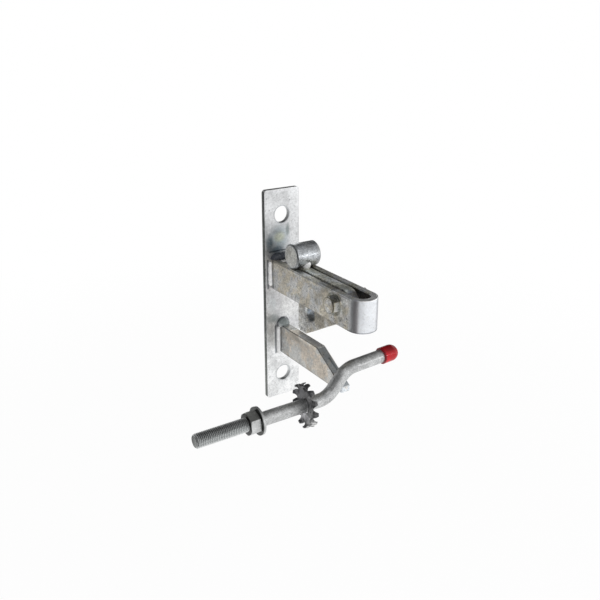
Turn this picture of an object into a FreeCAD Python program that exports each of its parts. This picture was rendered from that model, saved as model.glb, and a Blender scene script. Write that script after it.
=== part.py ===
import FreeCAD, Part
import math
import os
import Sketcher

# Self locking gate latch: a post plate carries a U-shaped strap loop with a hinged
# catch in it, and below it a ramp plate. A cranked striker bar, bolted to the gate,
# meets the ramp. The catch swings on a cross bolt and drops behind the bar.
#
# Frame: origin on the back face of the post plate, at its middle. +Z is up, +X runs
# along the plate's width and along the striker bar, and the loop reaches out along -Y.
# All sizes are in millimetres and angles in degrees.

SIZES = [
    ("plate_width", 50, "post plate, across"),
    ("plate_tall", 280, "post plate, top to bottom"),
    ("plate_thick", 6, "post plate"),
    ("plate_corner", 4, "radius of the post plate's four corners"),
    ("post_hole", 21, "diameter of the two post bolt holes"),
    ("post_pitch", 216, "between the two post bolt holes"),
    ("edge_round", 0.8, "rounding of the long edges of the flat bars"),
    ("strap_tall", 38, "height of the flat bar that the loop is bent from"),
    ("strap_thick", 8, "thickness of that bar"),
    ("strap_gap", 18.2, "clear width between the loop's arms"),
    ("strap_reach", 179.5, "plate's front face to the outside of the bend"),
    ("strap_above", 15.5, "plate's middle to the underside of the loop"),
    ("keep_tall", 52, "height of the space between ramp and loop"),
    ("ramp_tall", 38, "height of the ramp plate"),
    ("ramp_thick", 12, "thickness of the ramp plate"),
    ("ramp_flat", 86.6, "level part of the ramp's top edge"),
    ("ramp_reach", 137.5, "plate's front face to the ramp's tip"),
    ("ramp_nose", 7.5, "height of the square tip of the ramp"),
    ("pivot_reach", 134, "plate's front face to the axis of the cross bolt"),
    ("pivot_above", 3.5, "cross bolt above the middle of the loop's bar"),
    ("pivot_bolt_size", 12, "diameter of the cross bolt's shank"),
    ("pivot_fit", 0.08, "radial running clearance of the catch on its bolt"),
    ("pivot_flats", 19, "cross bolt's head and nut, across the flats"),
    ("pivot_head_tall", 7.5, "height of the cross bolt's head"),
    ("pivot_nut_tall", 10, "height of the cross bolt's nut"),
    ("pivot_tail", 3, "thread standing out of the cross bolt's nut"),
    ("spacer_size", 24, "outer diameter of the two spacer washers"),
    ("side_play", 0.3, "side clearance between spacer washer and catch"),
    ("catch_thick", 12, "thickness of the catch plate"),
    ("catch_proud", 0.3, "top edge of the catch above the loop, and so the bar's stop gap"),
    ("catch_gap", 32, "plate's front face to the catch's upper end"),
    ("lobe_step", 6.5, "upper end's underside above the underside of the loop"),
    ("keep_deep", 46, "plate's front face to the locking edge of the lobe"),
    ("lobe_lift", 9.6, "underside of the lobe above the ramp"),
    ("lobe_foot", 16.5, "length of the lobe's level underside"),
    ("lobe_corner", 3.5, "bevel at the lobe's inner bottom corner"),
    ("lobe_slope", 29.5, "slope of the lobe's lead-in edge"),
    ("lobe_run", 65.5, "length of the lead-in edge, measured level"),
    ("lock_hole", 17, "diameter of the padlock hole in the lobe"),
    ("lock_hole_out", 73, "plate's front face to the padlock hole"),
    ("lock_hole_below", 13.5, "padlock hole's axis below the underside of the loop"),
    ("thumb_size", 30, "diameter of the lifting bar"),
    ("thumb_long", 33, "length of the lifting bar"),
    ("thumb_out", 46.5, "plate's front face to the lifting bar's axis"),
    ("thumb_edge", 1.2, "bevel at the lifting bar's ends"),
    ("weld_leg", 4.5, "leg of the loop's and ramp's weld beads"),
    ("weld_top", 8, "leg of the bead across the top of the loop's arms"),
    ("weld_short", 3, "end of a bead inside the end of its joint"),
    ("weld_below", 4.5, "ramp's beads run on below it"),
    ("dollop_size", 15, "diameter of the weld dollop on the ramp"),
    ("thumb_weld", 6, "leg of the lifting bar's weld beads"),
    ("bar_size", 16, "diameter of the striker bar"),
    ("bar_gap", 0.3, "striker bar to the ramp's slope where they meet"),
    ("bar_meet", 16.2, "bar's axis below the ramp's top where it crosses the ramp's near face"),
    ("bar_low", 22.3, "low run of the bar below that crossing"),
    ("crank_rise", 30, "height from the crank's lower corner to its upper one"),
    ("crank_angle", 49, "slope of the crank"),
    ("end_lift", 3, "slope of the run beyond the crank"),
    ("crank_bend", 26, "bend radius of the crank, on the bar's axis"),
    ("bar_long_run", 166.6, "thread's end to the crank's lower corner"),
    ("bar_short_run", 65.9, "crank's upper corner to the bar's end"),
    ("thread_long", 76, "threaded length"),
    ("thread_bevel", 1.6, "bevel at the thread's end"),
    ("nut_from_end", 60.5, "thread's end to the nut"),
    ("nut_flats", 24, "striker nut across its flats"),
    ("nut_tall", 13, "height of the striker nut"),
    ("nut_play", 0.1, "radial clearance of the nut on the bar"),
    ("nut_turn", 38, "turn of the nut about the bar"),
    ("washer_size", 32, "outer diameter of the striker washer"),
    ("washer_thick", 3, "thickness of the striker washer"),
    ("slip_play", 0.5, "radial clearance of the washer on the bar"),
    ("connector_size", 50, "diameter of the toothed connector"),
    ("connector_sheet", 1.5, "sheet of the toothed connector"),
    ("connector_deep", 12, "connector over its teeth"),
    ("connector_teeth", 12, "teeth on each side of the connector"),
    ("connector_back", 30.4, "connector's middle to the crank's lower corner"),
    ("connector_lean", 10, "lean of the loose connector on the bar"),
    ("connector_play", 0.8, "radial clearance of the connector on the bar"),
    ("tooth_wide", 7.5, "width of a tooth at its root"),
    ("cap_size", 20, "outer diameter of the end cap"),
    ("cap_over", 14.5, "length of bar inside the end cap"),
    ("cap_long", 23.3, "length of the end cap"),
    ("cap_play", 0.05, "radial clearance of the end cap on the bar"),
]

doc = FreeCAD.newDocument("gate_latch")
sheet = doc.addObject("Spreadsheet::Sheet", "sizes")
for row, (alias, size, meaning) in enumerate(SIZES, start=1):
    sheet.set("A%d" % row, meaning)
    sheet.set("B%d" % row, str(size))
    sheet.setAlias("B%d" % row, alias)
doc.recompute()

# Places that several pieces share, as expressions on the sheet.
FRONT = "(0 - sizes.plate_thick)"
STRAP_HALF = "(sizes.strap_gap / 2 + sizes.strap_thick)"
STRAP_TOP = "(sizes.strap_above + sizes.strap_tall)"
RAMP_TOP = "(sizes.strap_above - sizes.keep_tall)"
RAMP_DROP = "(sizes.ramp_tall - sizes.ramp_nose)"
RAMP_RUN = "(sizes.ramp_reach - sizes.ramp_flat)"
PIVOT_Y = "(0 - sizes.plate_thick - sizes.pivot_reach)"
PIVOT_Z = "(sizes.strap_above + sizes.strap_tall / 2 + sizes.pivot_above)"
HEEL = f"({STRAP_TOP} + sizes.catch_proud - {PIVOT_Z})"
THUMB_Y = "(0 - sizes.plate_thick - sizes.thumb_out)"
THUMB_Z = f"({PIVOT_Z} + {HEEL} + sizes.thumb_size / 2)"
SPACER_THICK = "((sizes.strap_gap - sizes.catch_thick) / 2 - sizes.side_play)"
CRANK_RUN = "(sizes.crank_rise / tan(sizes.crank_angle * 1 deg))"
LOWER_TANGENT = "(sizes.crank_bend * tan(sizes.crank_angle / 2 * 1 deg))"
UPPER_TANGENT = "(sizes.crank_bend * tan((sizes.crank_angle - sizes.end_lift) / 2 * 1 deg))"
MEET_X = "(0 - sizes.ramp_thick / 2)"
KNEE_X = f"({MEET_X} - sizes.bar_low / tan(sizes.crank_angle * 1 deg))"
START_X = f"({KNEE_X} - sizes.bar_long_run)"
BAR_Z = f"({RAMP_TOP} - sizes.bar_meet - sizes.bar_low)"

# The bar's axis clears the near edge of the ramp's slope by its radius and the gap:
# the distance between two skew lines, the crank's axis and that edge.
SLOPE = f"(atan({RAMP_DROP} / {RAMP_RUN}))"
SKEW = (
    "(sqrt((sin(sizes.crank_angle * 1 deg) * cos(%s))^2 + cos(sizes.crank_angle * 1 deg)^2))"
    % SLOPE
)
BAR_STAND = (
    f"((sizes.bar_meet * cos({SLOPE})"
    f" + {SKEW} * (sizes.bar_size / 2 + sizes.bar_gap) / cos(sizes.crank_angle * 1 deg))"
    f" / sin({SLOPE}))"
)
BAR_Y = f"(0 - sizes.plate_thick - sizes.ramp_flat - {BAR_STAND})"

ALONG_X = FreeCAD.Rotation(FreeCAD.Vector(0, 0, 1), FreeCAD.Vector(1, 0, 0))
SMALL = 1e-3


def number(expression):
    """Value of an expression on the sheet, for a sketch's first drawing."""
    value = sheet.evalExpression(expression)
    return float(getattr(value, "Value", value))


def bind(thing, **expressions):
    """Bind properties of a feature to the sheet."""
    for prop, expression in expressions.items():
        thing.setExpression(prop, expression)
    return thing


def place(thing, x="0", y="0", z="0", rotation=None):
    """Bind a piece's place to the sheet."""
    if rotation is not None:
        thing.Placement = FreeCAD.Placement(FreeCAD.Vector(), rotation)
    thing.setExpression("Placement.Base.x", f"({x}) * 1 mm")
    thing.setExpression("Placement.Base.y", f"({y}) * 1 mm")
    thing.setExpression("Placement.Base.z", f"({z}) * 1 mm")
    return thing


def new_body(label):
    body = doc.addObject("PartDesign::Body", label)
    body.Label = label
    return body


def new_sketch(body, name, role):
    """A sketch on one of its own body's origin planes."""
    sketch = body.newObject("Sketcher::SketchObject", name)
    plane = [part for part in body.Origin.OriginFeatures if part.Role == role][0]
    sketch.AttachmentSupport = [(plane, "")]
    sketch.MapMode = "FlatFace"
    return sketch


def pin_point(sketch, geometry, corner, x, y, name):
    """Fix a point of a sketch at two expressions, measured from the origin."""
    for kind, axis, expression in (("DistanceX", "x", x), ("DistanceY", "y", y)):
        rule = Sketcher.Constraint(kind, -1, 1, geometry, corner, number(expression))
        index = sketch.addConstraint(rule)
        sketch.renameConstraint(index, name + axis)
        sketch.setExpression("Constraints." + name + axis, expression)


def draw_outline(sketch, points, closed=True, name="p"):
    """Draw straight edges and arcs. A point is (x, y), or (x, y, centre x, centre y, turn)
    where the edge that arrives at it is an arc about a centre, turn 1 anticlockwise."""
    count = len(points)
    edges = []
    for index in range(count if closed else count - 1):
        tail = points[index]
        head = points[(index + 1) % count]
        start = FreeCAD.Vector(number(tail[0]), number(tail[1]), 0)
        end = FreeCAD.Vector(number(head[0]), number(head[1]), 0)
        if len(head) == 2:
            edges.append((sketch.addGeometry(Part.LineSegment(start, end)), 1, 2))
            continue
        centre = FreeCAD.Vector(number(head[2]), number(head[3]), 0)
        circle = Part.Circle(centre, FreeCAD.Vector(0, 0, 1), (start - centre).Length)
        first = math.atan2(start.y - centre.y, start.x - centre.x)
        last = math.atan2(end.y - centre.y, end.x - centre.x)
        if head[4] > 0:
            arc = Part.ArcOfCircle(circle, first, last)
            edges.append((sketch.addGeometry(arc), 1, 2))
        else:
            arc = Part.ArcOfCircle(circle, last, first)
            edges.append((sketch.addGeometry(arc), 2, 1))
    for index, (edge, tail, head) in enumerate(edges):
        if closed or index + 1 < len(edges):
            follower = edges[(index + 1) % len(edges)]
            sketch.addConstraint(Sketcher.Constraint("Coincident", edge, head, follower[0], follower[1]))
        pin_point(sketch, edge, tail, points[index][0], points[index][1], f"{name}{index}")
    if not closed:
        edge, tail, head = edges[-1]
        pin_point(sketch, edge, head, points[-1][0], points[-1][1], f"{name}{count - 1}")
    for index, (edge, tail, head) in enumerate(edges):
        arrival = points[(index + 1) % count]
        if len(arrival) == 2:
            continue
        across = abs(number(arrival[0]) - number(points[index][0]))
        along = abs(number(arrival[1]) - number(points[index][1]))
        kind, expression = ("DistanceY", arrival[3]) if across >= along else ("DistanceX", arrival[2])
        rule = sketch.addConstraint(Sketcher.Constraint(kind, -1, 1, edge, 3, number(expression)))
        sketch.renameConstraint(rule, f"{name}{index}centre")
        sketch.setExpression(f"Constraints.{name}{index}centre", expression)


def draw_circle(sketch, x, y, diameter, name):
    centre = FreeCAD.Vector(number(x), number(y), 0)
    circle = Part.Circle(centre, FreeCAD.Vector(0, 0, 1), number(diameter) / 2)
    edge = sketch.addGeometry(circle)
    pin_point(sketch, edge, 3, x, y, name)
    rule = sketch.addConstraint(Sketcher.Constraint("Diameter", edge, number(diameter)))
    sketch.renameConstraint(rule, name + "size")
    sketch.setExpression(f"Constraints.{name}size", diameter)


def pad(body, sketch, length, symmetric=False, name="Pad"):
    feature = body.newObject("PartDesign::Pad", name)
    feature.Profile = sketch
    feature.SideType = "Symmetric" if symmetric else "One side"
    bind(feature, Length=length)
    body.Tip = feature
    return feature


def drill(body, sketch, name="Drill"):
    """Cut a sketch right through the body, both ways."""
    feature = body.newObject("PartDesign::Pocket", name)
    feature.Profile = sketch
    feature.Type = "ThroughAll"
    feature.SideType = "Symmetric"
    body.Tip = feature
    return feature


def round_edges(body, wanted, radius, name="Rounding"):
    """Round the edges of the body's last feature that wanted() picks."""
    doc.recompute()
    last = body.Tip
    names = [f"Edge{i}" for i, edge in enumerate(last.Shape.Edges, start=1) if wanted(edge)]
    feature = body.newObject("PartDesign::Fillet", name)
    feature.Base = (last, names)
    bind(feature, Radius=radius)
    body.Tip = feature
    return feature


def lies_at(edge, axis, *places):
    """True where the whole edge lies in a plane across one of the body's axes."""
    box = edge.BoundBox
    low, high = {"x": (box.XMin, box.XMax), "y": (box.YMin, box.YMax), "z": (box.ZMin, box.ZMax)}[axis]
    return any(abs(low - spot) < SMALL and abs(high - spot) < SMALL for spot in places)


def make_back_plate():
    body = new_body("back_plate")
    sketch = new_sketch(body, "plate_outline", "XZ_Plane")
    wide = "sizes.plate_width / 2"
    tall = "sizes.plate_tall / 2"
    inset = "sizes.plate_corner"
    corners = [("+", "-"), ("+", "+"), ("-", "+"), ("-", "-")]
    points = []
    for side, end in corners:
        out_x = f"{side}1 * ({wide})"
        out_z = f"{end}1 * ({tall})"
        in_x = f"{side}1 * ({wide} - {inset})"
        in_z = f"{end}1 * ({tall} - {inset})"
        level_first = side != end
        if level_first:
            points.append((in_x, out_z))
            points.append((out_x, in_z, in_x, in_z, 1))
        else:
            points.append((out_x, in_z))
            points.append((in_x, out_z, in_x, in_z, 1))
    draw_outline(sketch, points)
    for name, sign in (("upper", "+"), ("lower", "-")):
        draw_circle(sketch, "0", f"{sign}1 * sizes.post_pitch / 2", "sizes.post_hole", name)
    pad(body, sketch, "sizes.plate_thick")
    rim = number("sizes.post_hole") / 2 + SMALL

    def outer(edge):
        on_face = lies_at(edge, "y", 0, number(FRONT))
        box = edge.BoundBox
        ring = box.XMax <= rim and box.XMin >= -rim and box.XLength > rim and box.ZLength > rim
        return on_face and not ring

    round_edges(body, outer, "sizes.edge_round")
    return body


def make_strap_loop():
    body = new_body("strap_loop")
    sketch = new_sketch(body, "loop_outline", "XY_Plane")
    half = STRAP_HALF
    inner = "(sizes.strap_gap / 2)"
    bend = f"(0 - (sizes.strap_reach - {half}))"
    draw_outline(sketch, [
        (f"0 - {half}", "0"),
        (f"0 - {half}", bend),
        (half, bend, "0", bend, 1),
        (half, "0"),
        (inner, "0"),
        (inner, bend),
        (f"0 - {inner}", bend, "0", bend, -1),
        (f"0 - {inner}", "0"),
    ])
    pad(body, sketch, "sizes.strap_tall")
    hole = new_sketch(body, "pivot_hole", "YZ_Plane")
    pivot_up = "(sizes.strap_tall / 2 + sizes.pivot_above)"
    draw_circle(hole, "0 - sizes.pivot_reach", pivot_up, "sizes.pivot_bolt_size + 2 * sizes.pivot_fit", "hole")
    drill(body, hole)
    tall = number("sizes.strap_tall")

    def long_edge(edge):
        return lies_at(edge, "z", 0, tall) and not lies_at(edge, "y", 0)

    round_edges(body, long_edge, "sizes.edge_round")
    place(body, y=FRONT, z="sizes.strap_above")
    return body


def make_ramp_plate():
    body = new_body("ramp_plate")
    sketch = new_sketch(body, "ramp_outline", "YZ_Plane")
    draw_outline(sketch, [
        ("0", "0"),
        ("0", "0 - sizes.ramp_tall"),
        ("0 - sizes.ramp_reach", "0 - sizes.ramp_tall"),
        ("0 - sizes.ramp_reach", f"0 - {RAMP_DROP}"),
        ("0 - sizes.ramp_flat", "0"),
    ])
    pad(body, sketch, "sizes.ramp_thick", symmetric=True)
    side = number("sizes.ramp_thick") / 2
    tip = -number("sizes.ramp_reach")

    def side_edge(edge):
        return lies_at(edge, "x", side, -side) and not lies_at(edge, "y", 0)

    def tip_edge(edge):
        return lies_at(edge, "y", tip) and edge.BoundBox.XLength > side

    round_edges(body, lambda edge: side_edge(edge) or tip_edge(edge), "sizes.edge_round")
    place(body, y=FRONT, z=RAMP_TOP)
    return body


def make_catch_plate():
    """Profile cut from plate, drawn about the cross bolt's axis, +Y towards the post."""
    body = new_body("catch_plate")
    sketch = new_sketch(body, "catch_outline", "YZ_Plane")
    end = "(sizes.pivot_reach - sizes.catch_gap)"
    step = f"(sizes.strap_above + sizes.lobe_step - {PIVOT_Z})"
    lock = "(sizes.pivot_reach - sizes.keep_deep)"
    foot = f"({RAMP_TOP} + sizes.lobe_lift - {PIVOT_Z})"
    slope_from = f"({lock} - sizes.lobe_foot)"
    slope_to = f"({slope_from} - sizes.lobe_run)"
    slope_end = f"({foot} + sizes.lobe_run * tan(sizes.lobe_slope * 1 deg))"
    draw_outline(sketch, [
        ("0", HEEL),
        (f"0 - {HEEL}", "0", "0", "0", 1),
        (f"0 - {HEEL}", f"0 - {HEEL} * 0.6"),
        (slope_to, slope_end),
        (slope_from, foot),
        (f"{lock} - sizes.lobe_corner", foot),
        (lock, f"{foot} + sizes.lobe_corner"),
        (lock, step),
        (end, step),
        (end, HEEL),
    ])
    draw_circle(sketch, "0", "0", "sizes.pivot_bolt_size + 2 * sizes.pivot_fit", "bolt")
    draw_circle(sketch, "sizes.pivot_reach - sizes.lock_hole_out",
                f"sizes.strap_above - sizes.lock_hole_below - {PIVOT_Z}", "sizes.lock_hole", "lock")
    pad(body, sketch, "sizes.catch_thick", symmetric=True)
    side = number("sizes.catch_thick") / 2
    widest = number("sizes.lock_hole") + SMALL

    def profile_edge(edge):
        ring = edge.isClosed() and edge.BoundBox.YLength < widest
        return lies_at(edge, "x", side, -side) and not ring

    round_edges(body, profile_edge, "sizes.edge_round")
    place(body, y=PIVOT_Y, z=PIVOT_Z)
    return body


def make_thumb_bar():
    """Round bar welded across the catch; it lifts the catch and stops it on the loop."""
    body = new_body("thumb_bar")
    sketch = new_sketch(body, "bar_half", "XZ_Plane")
    half = "(sizes.thumb_long / 2)"
    rim = "(sizes.thumb_size / 2)"
    draw_outline(sketch, [
        (f"0 - {half}", "0"),
        (half, "0"),
        (half, f"{rim} - sizes.thumb_edge"),
        (f"{half} - sizes.thumb_edge", rim),
        (f"sizes.thumb_edge - {half}", rim),
        (f"0 - {half}", f"{rim} - sizes.thumb_edge"),
    ])
    turned = body.newObject("PartDesign::Revolution", "Turned")
    turned.Profile = sketch
    turned.ReferenceAxis = (sketch, ["H_Axis"])
    turned.Angle = 360
    body.Tip = turned
    place(body, y=THUMB_Y, z=THUMB_Z)
    return body


def quarter_bead(label, leg, length, corner, rotation):
    """Quarter-round fillet weld along a corner, drawn along its own +Z."""
    bead = doc.addObject("Part::Cylinder", label)
    bead.Label = label
    bead.Angle = 90
    bind(bead, Radius=leg, Height=length)
    place(bead, *corner, rotation=rotation)
    return bead


def frame_rotation(x_axis, z_axis):
    """Turn that takes the local X and Z axes to the given ones."""
    z_dir = FreeCAD.Vector(*z_axis)
    x_dir = FreeCAD.Vector(*x_axis)
    return FreeCAD.Rotation(x_dir, z_dir.cross(x_dir), z_dir, "ZXY")


def make_fillet_welds():
    """Beads that join the loop's arms and the ramp to the post plate."""
    beads = []
    strap_foot = "(sizes.strap_above + sizes.weld_short)"
    strap_run = "(sizes.strap_tall - 2 * sizes.weld_short)"
    ramp_foot = f"({RAMP_TOP} - sizes.ramp_tall - sizes.weld_below)"
    ramp_run = "(sizes.ramp_tall - sizes.weld_short + sizes.weld_below)"
    near = frame_rotation((-1, 0, 0), (0, 0, 1))
    far = frame_rotation((0, -1, 0), (0, 0, 1))
    across = frame_rotation((0, 0, 1), (1, 0, 0))
    leg = "sizes.weld_leg"
    for node, side, turn in (("weld_strap_near", f"0 - {STRAP_HALF}", near), ("weld_strap_far", STRAP_HALF, far)):
        beads.append(quarter_bead(node, leg, strap_run, (side, FRONT, strap_foot), turn))
    ramp_half = "sizes.ramp_thick / 2"
    for node, side, turn in (("weld_ramp_near", f"0 - {ramp_half}", near), ("weld_ramp_far", ramp_half, far)):
        beads.append(quarter_bead(node, leg, ramp_run, (side, FRONT, ramp_foot), turn))
    top_corner = (f"0 - {STRAP_HALF}", FRONT, STRAP_TOP)
    beads.append(quarter_bead("weld_strap_top", "sizes.weld_top", f"2 * {STRAP_HALF}", top_corner, across))
    return beads


def box(label, x, y, z, length, width, height):
    """Plain block whose lowest corner is at x, y, z."""
    block = doc.addObject("Part::Box", label)
    bind(block, Length=length, Width=width, Height=height)
    place(block, x, y, z)
    return block


def cut(label, base, tool):
    result = doc.addObject("Part::Cut", label)
    result.Label = label
    result.Base = base
    result.Tool = tool
    return result


def make_ramp_dollop():
    """Round dollop of weld where the ramp's top edge meets the post plate."""
    ball = doc.addObject("Part::Sphere", "dollop_ball")
    bind(ball, Radius="sizes.dollop_size / 2")
    size = "sizes.dollop_size"
    behind = box("dollop_behind", f"0 - {size}", "0", f"0 - {size}", f"2 * {size}", size, f"2 * {size}")
    below = box("dollop_below", "0 - sizes.ramp_thick / 2", f"0 - {size}", f"0 - {size}",
                "sizes.ramp_thick", f"2 * {size}", size)
    leg = "sizes.weld_leg"
    beads = box("dollop_beads", f"0 - {size}", f"0 - {size}", f"0 - {size}",
                f"2 * {size}", f"2 * {size}", f"{size} - sizes.weld_short")
    dollop = cut("weld_ramp_top", cut("dollop_seated", cut("dollop_faced", ball, behind), below), beads)
    place(dollop, y=FRONT, z=RAMP_TOP)
    return dollop


def make_thumb_welds():
    """Beads in the two hollows between the lifting bar and the catch's top edge."""
    beads = []
    leg = "sizes.thumb_weld"
    for label, near_edge in (("weld_thumb_front", f"0 - 2 * {leg}"), ("weld_thumb_back", "0")):
        block = box(label + "_block", "0 - sizes.catch_thick / 2", near_edge, "0 - sizes.thumb_size / 2",
                    "sizes.catch_thick", f"2 * {leg}", leg)
        bar = doc.addObject("Part::Cylinder", label + "_bar")
        bind(bar, Radius="sizes.thumb_size / 2", Height="sizes.thumb_long")
        place(bar, x="0 - sizes.thumb_long / 2", rotation=ALONG_X)
        bead = cut(label, block, bar)
        place(bead, y=THUMB_Y, z=THUMB_Z)
        beads.append(bead)
    return beads


def hexagon(label, flats, tall, both_ends=False):
    """Six-sided piece along its own +Z, with the corners of its end faces turned off."""
    prism = doc.addObject("Part::Prism", label + "_prism")
    prism.Polygon = 6
    bind(prism, Circumradius=f"{flats} / sqrt(3)", Height=tall)
    ends = [("top", f"{flats} * 0.48 + {tall} * tan(60 deg)", f"{flats} * 0.48")]
    if both_ends:
        ends.append(("bottom", ends[0][2], ends[0][1]))
    shape = prism
    for end, low, high in ends:
        cone = doc.addObject("Part::Cone", f"{label}_{end}_cone")
        bind(cone, Radius1=low, Radius2=high, Height=tall)
        turned = doc.addObject("Part::Common", f"{label}_{end}_turned")
        turned.Base = shape
        turned.Tool = cone
        shape = turned
    return shape


def ring_bore(label, shape, bore, tall):
    """Bore a hole through a piece along its own +Z."""
    drill_bit = doc.addObject("Part::Cylinder", label + "_drill")
    bind(drill_bit, Radius=bore, Height=f"3 * ({tall})")
    place(drill_bit, z=f"0 - ({tall})")
    return cut(label, shape, drill_bit)


def make_pivot_bolt():
    """Hexagon bolt through both arms of the loop, its head on the near arm."""
    head = hexagon("pivot_head", "sizes.pivot_flats", "sizes.pivot_head_tall")
    shank = doc.addObject("Part::Cylinder", "pivot_shank")
    reach = f"(2 * {STRAP_HALF} + sizes.pivot_nut_tall + sizes.pivot_tail)"
    bind(shank, Radius="sizes.pivot_bolt_size / 2", Height=reach)
    place(shank, z=f"0 - {reach}")
    bolt = doc.addObject("Part::Fuse", "pivot_bolt")
    bolt.Label = "pivot_bolt"
    bolt.Base = head
    bolt.Tool = shank
    outwards = frame_rotation((0, 0, 1), (-1, 0, 0))
    place(bolt, x=f"0 - {STRAP_HALF}", y=PIVOT_Y, z=PIVOT_Z, rotation=outwards)
    return bolt


def make_pivot_nut():
    tall = "sizes.pivot_nut_tall"
    blank = hexagon("pivot_nut_blank", "sizes.pivot_flats", tall, both_ends=True)
    nut = ring_bore("pivot_nut", blank, "sizes.pivot_bolt_size / 2 + sizes.pivot_fit", tall)
    place(nut, x=STRAP_HALF, y=PIVOT_Y, z=PIVOT_Z, rotation=frame_rotation((0, 0, 1), (1, 0, 0)))
    return nut


def make_spacers():
    """Washers that keep the catch in the middle of the loop."""
    spacers = []
    for label, x in (("spacer_near", "0 - sizes.strap_gap / 2"),
                     ("spacer_far", f"sizes.strap_gap / 2 - {SPACER_THICK}")):
        disc = doc.addObject("Part::Cylinder", label + "_disc")
        bind(disc, Radius="sizes.spacer_size / 2", Height=SPACER_THICK)
        spacer = ring_bore(label, disc, "sizes.pivot_bolt_size / 2 + sizes.pivot_fit", SPACER_THICK)
        place(spacer, x=x, y=PIVOT_Y, z=PIVOT_Z, rotation=ALONG_X)
        spacers.append(spacer)
    return spacers


def make_striker_bar():
    """Round bar with a crank, swept along its axis from the thread's end."""
    body = new_body("striker_bar")
    path = new_sketch(body, "bar_axis", "XZ_Plane")
    knee = "sizes.bar_long_run"
    elbow = f"({knee} + {CRANK_RUN})"
    rise = "sizes.crank_rise"
    steep_x, steep_z = "cos(sizes.crank_angle * 1 deg)", "sin(sizes.crank_angle * 1 deg)"
    lift_x, lift_z = "cos(sizes.end_lift * 1 deg)", "sin(sizes.end_lift * 1 deg)"
    bend = "sizes.crank_bend"
    turn_from_x = f"({elbow} - {UPPER_TANGENT} * {steep_x})"
    turn_from_z = f"({rise} - {UPPER_TANGENT} * {steep_z})"
    draw_outline(path, [
        ("0", "0"),
        (f"{knee} - {LOWER_TANGENT}", "0"),
        (f"{knee} + {LOWER_TANGENT} * {steep_x}", f"{LOWER_TANGENT} * {steep_z}",
         f"{knee} - {LOWER_TANGENT}", bend, 1),
        (turn_from_x, turn_from_z),
        (f"{elbow} + {UPPER_TANGENT} * {lift_x}", f"{rise} + {UPPER_TANGENT} * {lift_z}",
         f"{turn_from_x} + {bend} * {steep_z}", f"{turn_from_z} - {bend} * {steep_x}", -1),
        (f"{elbow} + sizes.bar_short_run * {lift_x}", f"{rise} + sizes.bar_short_run * {lift_z}"),
    ], closed=False)
    section = new_sketch(body, "bar_section", "YZ_Plane")
    draw_circle(section, "0", "0", "sizes.bar_size", "bar")
    doc.recompute()
    sweep = body.newObject("PartDesign::AdditivePipe", "Sweep")
    sweep.Profile = section
    sweep.Spine = path
    body.Tip = sweep
    doc.recompute()
    names = [f"Edge{i}" for i, edge in enumerate(sweep.Shape.Edges, start=1) if lies_at(edge, "x", 0)]
    bevel = body.newObject("PartDesign::Chamfer", "ThreadBevel")
    bevel.Base = (sweep, names)
    bind(bevel, Size="sizes.thread_bevel")
    body.Tip = bevel
    place(body, x=START_X, y=BAR_Y, z=BAR_Z)
    return body


def make_end_cap():
    """Moulded cap pushed over the bar's plain end, with a domed nose."""
    body = new_body("end_cap")
    sketch = new_sketch(body, "cap_half", "XZ_Plane")
    rim = "(sizes.cap_size / 2)"
    bore = "(sizes.bar_size / 2 + sizes.cap_play)"
    draw_outline(sketch, [
        ("0", bore),
        ("sizes.cap_over", bore),
        ("sizes.cap_over", "0"),
        ("sizes.cap_long", "0"),
        (f"sizes.cap_long - {rim}", rim, f"sizes.cap_long - {rim}", "0", 1),
        ("0", rim),
    ])
    turned = body.newObject("PartDesign::Revolution", "Turned")
    turned.Profile = sketch
    turned.ReferenceAxis = (sketch, ["H_Axis"])
    turned.Angle = 360
    body.Tip = turned
    along = "(sizes.bar_short_run - sizes.cap_over)"
    place(body, x=f"{KNEE_X} + {CRANK_RUN} + {along} * cos(sizes.end_lift * 1 deg)", y=BAR_Y,
          z=f"{BAR_Z} + sizes.crank_rise + {along} * sin(sizes.end_lift * 1 deg)",
          rotation=FreeCAD.Rotation(FreeCAD.Vector(0, -1, 0), 1))
    body.setExpression("Placement.Rotation.Angle", "sizes.end_lift * 1 deg")
    return body


def make_striker_nut():
    tall = "sizes.nut_tall"
    blank = hexagon("striker_nut_blank", "sizes.nut_flats", tall, both_ends=True)
    nut = ring_bore("striker_nut", blank, "sizes.bar_size / 2 + sizes.nut_play", tall)
    turn = math.radians(number("sizes.nut_turn"))
    corner = (0, -math.cos(turn), math.sin(turn))
    place(nut, x=f"{START_X} + sizes.nut_from_end", y=BAR_Y, z=BAR_Z,
          rotation=frame_rotation(corner, (1, 0, 0)))
    return nut


def make_striker_washer():
    disc = doc.addObject("Part::Cylinder", "washer_disc")
    bind(disc, Radius="sizes.washer_size / 2", Height="sizes.washer_thick")
    washer = ring_bore("striker_washer", disc, "sizes.bar_size / 2 + sizes.slip_play", "sizes.washer_thick")
    place(washer, x=f"{START_X} + sizes.nut_from_end + sizes.nut_tall", y=BAR_Y, z=BAR_Z, rotation=ALONG_X)
    return washer


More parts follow.
